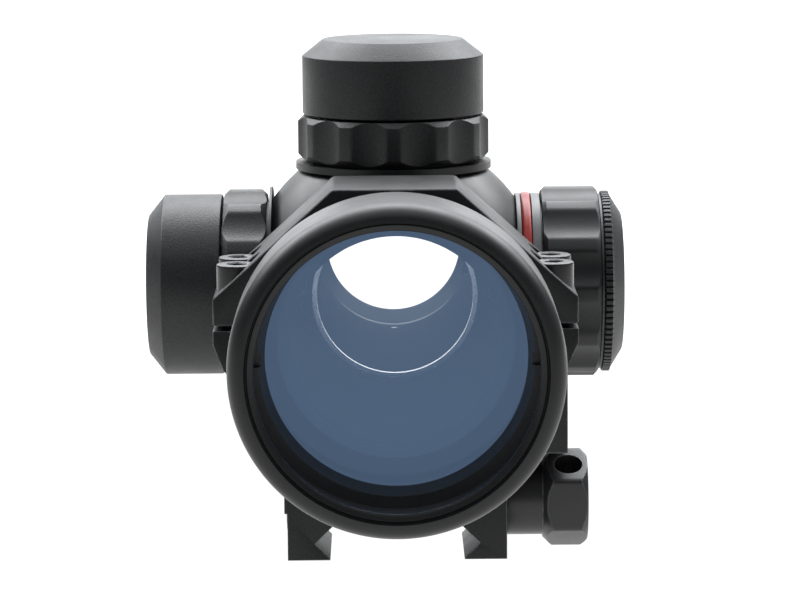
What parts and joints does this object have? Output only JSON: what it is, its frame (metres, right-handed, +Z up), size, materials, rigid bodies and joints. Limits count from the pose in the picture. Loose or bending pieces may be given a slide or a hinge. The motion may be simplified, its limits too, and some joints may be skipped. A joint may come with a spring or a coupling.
{
  "type": "red dot finder",
  "caption": "Tube red dot sight with a flared objective, two adjusting turrets, a side brightness dial holding the battery, and a ring mount that clamps on a dovetail rail.",
  "frame": {"origin": "on the plane where the rail's top face seats, under the middle of the ring mount and on the sight's centre plane", "axes": "+Y along the sight line from the objective to the eyepiece, +Z up, +X to the side of the brightness dial"},
  "size_m": [0.0672, 0.1232, 0.0661],
  "materials": {
    "black_anodised": "bead blasted black anodised, satin",
    "grey_anodised": "turned grey anodised, satin",
    "red_band": "glossy red elastomer",
    "objective_glass": "polished, blue reflective coating",
    "clear_glass": "polished, coated",
    "bright_aluminium": "bright turned",
    "black_steel": "black oxide",
    "steel": "plain",
    "brass": "turned",
    "seal_rubber": "matte",
    "board": "solder mask",
    "acetal": "moulded",
    "cell_steel": "nickel plated",
    "diode": "clear red"
  },
  "bodies": {
    "sight": {"objective_bell": "black_anodised", "objective_lens_outer": "objective_glass", "objective_lens_inner": "objective_glass", "objective_retaining_ring": "black_anodised", "objective_seal": "seal_rubber", "main_tube": "black_anodised", "eyepiece_housing": "black_anodised", "eyepiece_lens": "clear_glass", "eyepiece_retaining_ring": "black_anodised", "eyepiece_seal": "seal_rubber", "outer_pivot_pins": "steel", "lift_spring": "steel", "side_spring": "steel", "switch_housing": "grey_anodised", "accent_ring": "red_band", "knob_clip": "steel", "switch_board": "board", "switch_detent_ball": "steel", "switch_detent_spring": "steel", "ring_cap": "black_anodised", "mount_base": "black_anodised", "ring_screws": "black_steel", "cross_bolt": "black_steel", "jaw_pins": "steel", "elevation_base": "black_anodised", "elevation_detent_ball": "steel", "elevation_detent_spring": "steel", "elevation_guide": "brass", "windage_base": "black_anodised", "windage_detent_ball": "steel", "windage_detent_spring": "steel", "windage_guide": "brass"},
    "elevation_dial": {"elevation_knob": "black_anodised", "elevation_click_ring": "brass", "elevation_clip": "steel"},
    "elevation_lock": {"elevation_lock_ring": "black_anodised"},
    "elevation_screw": {"elevation_spindle": "brass"},
    "windage_dial": {"windage_knob": "black_anodised", "windage_click_ring": "brass", "windage_clip": "steel"},
    "windage_lock": {"windage_lock_ring": "black_anodised"},
    "windage_screw": {"windage_spindle": "brass"},
    "tilt_ring": {"pivot_ring": "brass", "inner_pivot_pins": "steel"},
    "optics_carrier": {"inner_tube": "black_anodised", "inner_lens": "clear_glass", "inner_lens_ring": "bright_aluminium", "emitter_holder": "acetal", "emitter_diode": "diode"},
    "dial": {"brightness_knob": "black_anodised", "cap_collar": "bright_aluminium", "switch_rotor": "acetal", "coin_cell": "cell_steel", "contact_spring": "cell_steel"},
    "cap_travel": {"battery_cap_seal": "seal_rubber"},
    "cap": {"battery_cap": "black_anodised"},
    "jaw": {"clamp_jaw": "black_anodised"},
    "jaw_knob": {"clamp_knob": "black_anodised"}
  },
  "joints": [
    {"name": "elevation_turn", "type": "hinge", "parent": "sight", "child": "elevation_dial", "pos_m": [0, 0.0336, 0.054], "axis": [0, 0, 1], "range_deg": [-360, 360]},
    {"name": "elevation_travel", "type": "slide", "parent": "sight", "child": "elevation_screw", "axis": [0, 0, 1], "range_m": [-0.00051, 0.00051]},
    {"name": "elevation_tilt", "type": "hinge", "parent": "sight", "child": "tilt_ring", "pos_m": [0, 0.0636, 0.026], "axis": [1, 0, 0], "range_deg": [-1, 1], "deforming": ["lift_spring"]},
    {"name": "windage_turn", "type": "hinge", "parent": "sight", "child": "windage_dial", "pos_m": [-0.028, 0.0336, 0.026], "axis": [1, 0, 0], "range_deg": [-360, 360]},
    {"name": "windage_travel", "type": "slide", "parent": "sight", "child": "windage_screw", "axis": [1, 0, 0], "range_m": [-0.00051, 0.00051]},
    {"name": "windage_tilt", "type": "hinge", "parent": "tilt_ring", "child": "optics_carrier", "pos_m": [0, 0.0636, 0.026], "axis": [0, 0, 1], "range_deg": [-1, 1]},
    {"name": "elevation_lock_turn", "type": "hinge", "parent": "sight", "child": "elevation_lock", "pos_m": [0, 0.0336, 0.0467], "axis": [0, 0, 1], "range_deg": [0, 90]},
    {"name": "windage_lock_turn", "type": "hinge", "parent": "sight", "child": "windage_lock", "pos_m": [-0.0207, 0.0336, 0.026], "axis": [1, 0, 0], "range_deg": [0, 90]},
    {"name": "dial_turn", "type": "hinge", "parent": "sight", "child": "dial", "pos_m": [0.025, 0.0336, 0.026], "axis": [1, 0, 0], "range_deg": [0, 300]},
    {"name": "cap_travel_out", "type": "slide", "parent": "dial", "child": "cap_travel", "axis": [1, 0, 0], "range_m": [0, 0.003]},
    {"name": "cap_unscrew", "type": "hinge", "parent": "cap_travel", "child": "cap", "pos_m": [0.031, 0.0336, 0.026], "axis": [1, 0, 0], "range_deg": [0, 1441]},
    {"name": "jaw_slide", "type": "slide", "parent": "sight", "child": "jaw", "axis": [1, 0, 0], "range_m": [-0.0007, 0.0025]},
    {"name": "clamp_turn", "type": "hinge", "parent": "jaw", "child": "jaw_knob", "pos_m": [0.0225, 0, 0.0015], "axis": [1, 0, 0], "range_deg": [-316, 1126]}
  ],
  "couplings": [
    {"joint": "elevation_travel", "follows": "elevation_turn", "m_per_rad": -0.000079577},
    {"joint": "elevation_tilt", "follows": "elevation_turn", "ratio": 0.0026526},
    {"joint": "windage_travel", "follows": "windage_turn", "m_per_rad": 0.000079577},
    {"joint": "windage_tilt", "follows": "windage_turn", "ratio": 0.0026526},
    {"joint": "cap_unscrew", "follows": "cap_travel_out", "rad_per_m": 8377.6},
    {"joint": "clamp_turn", "follows": "jaw_slide", "rad_per_m": 7854}
  ]
}
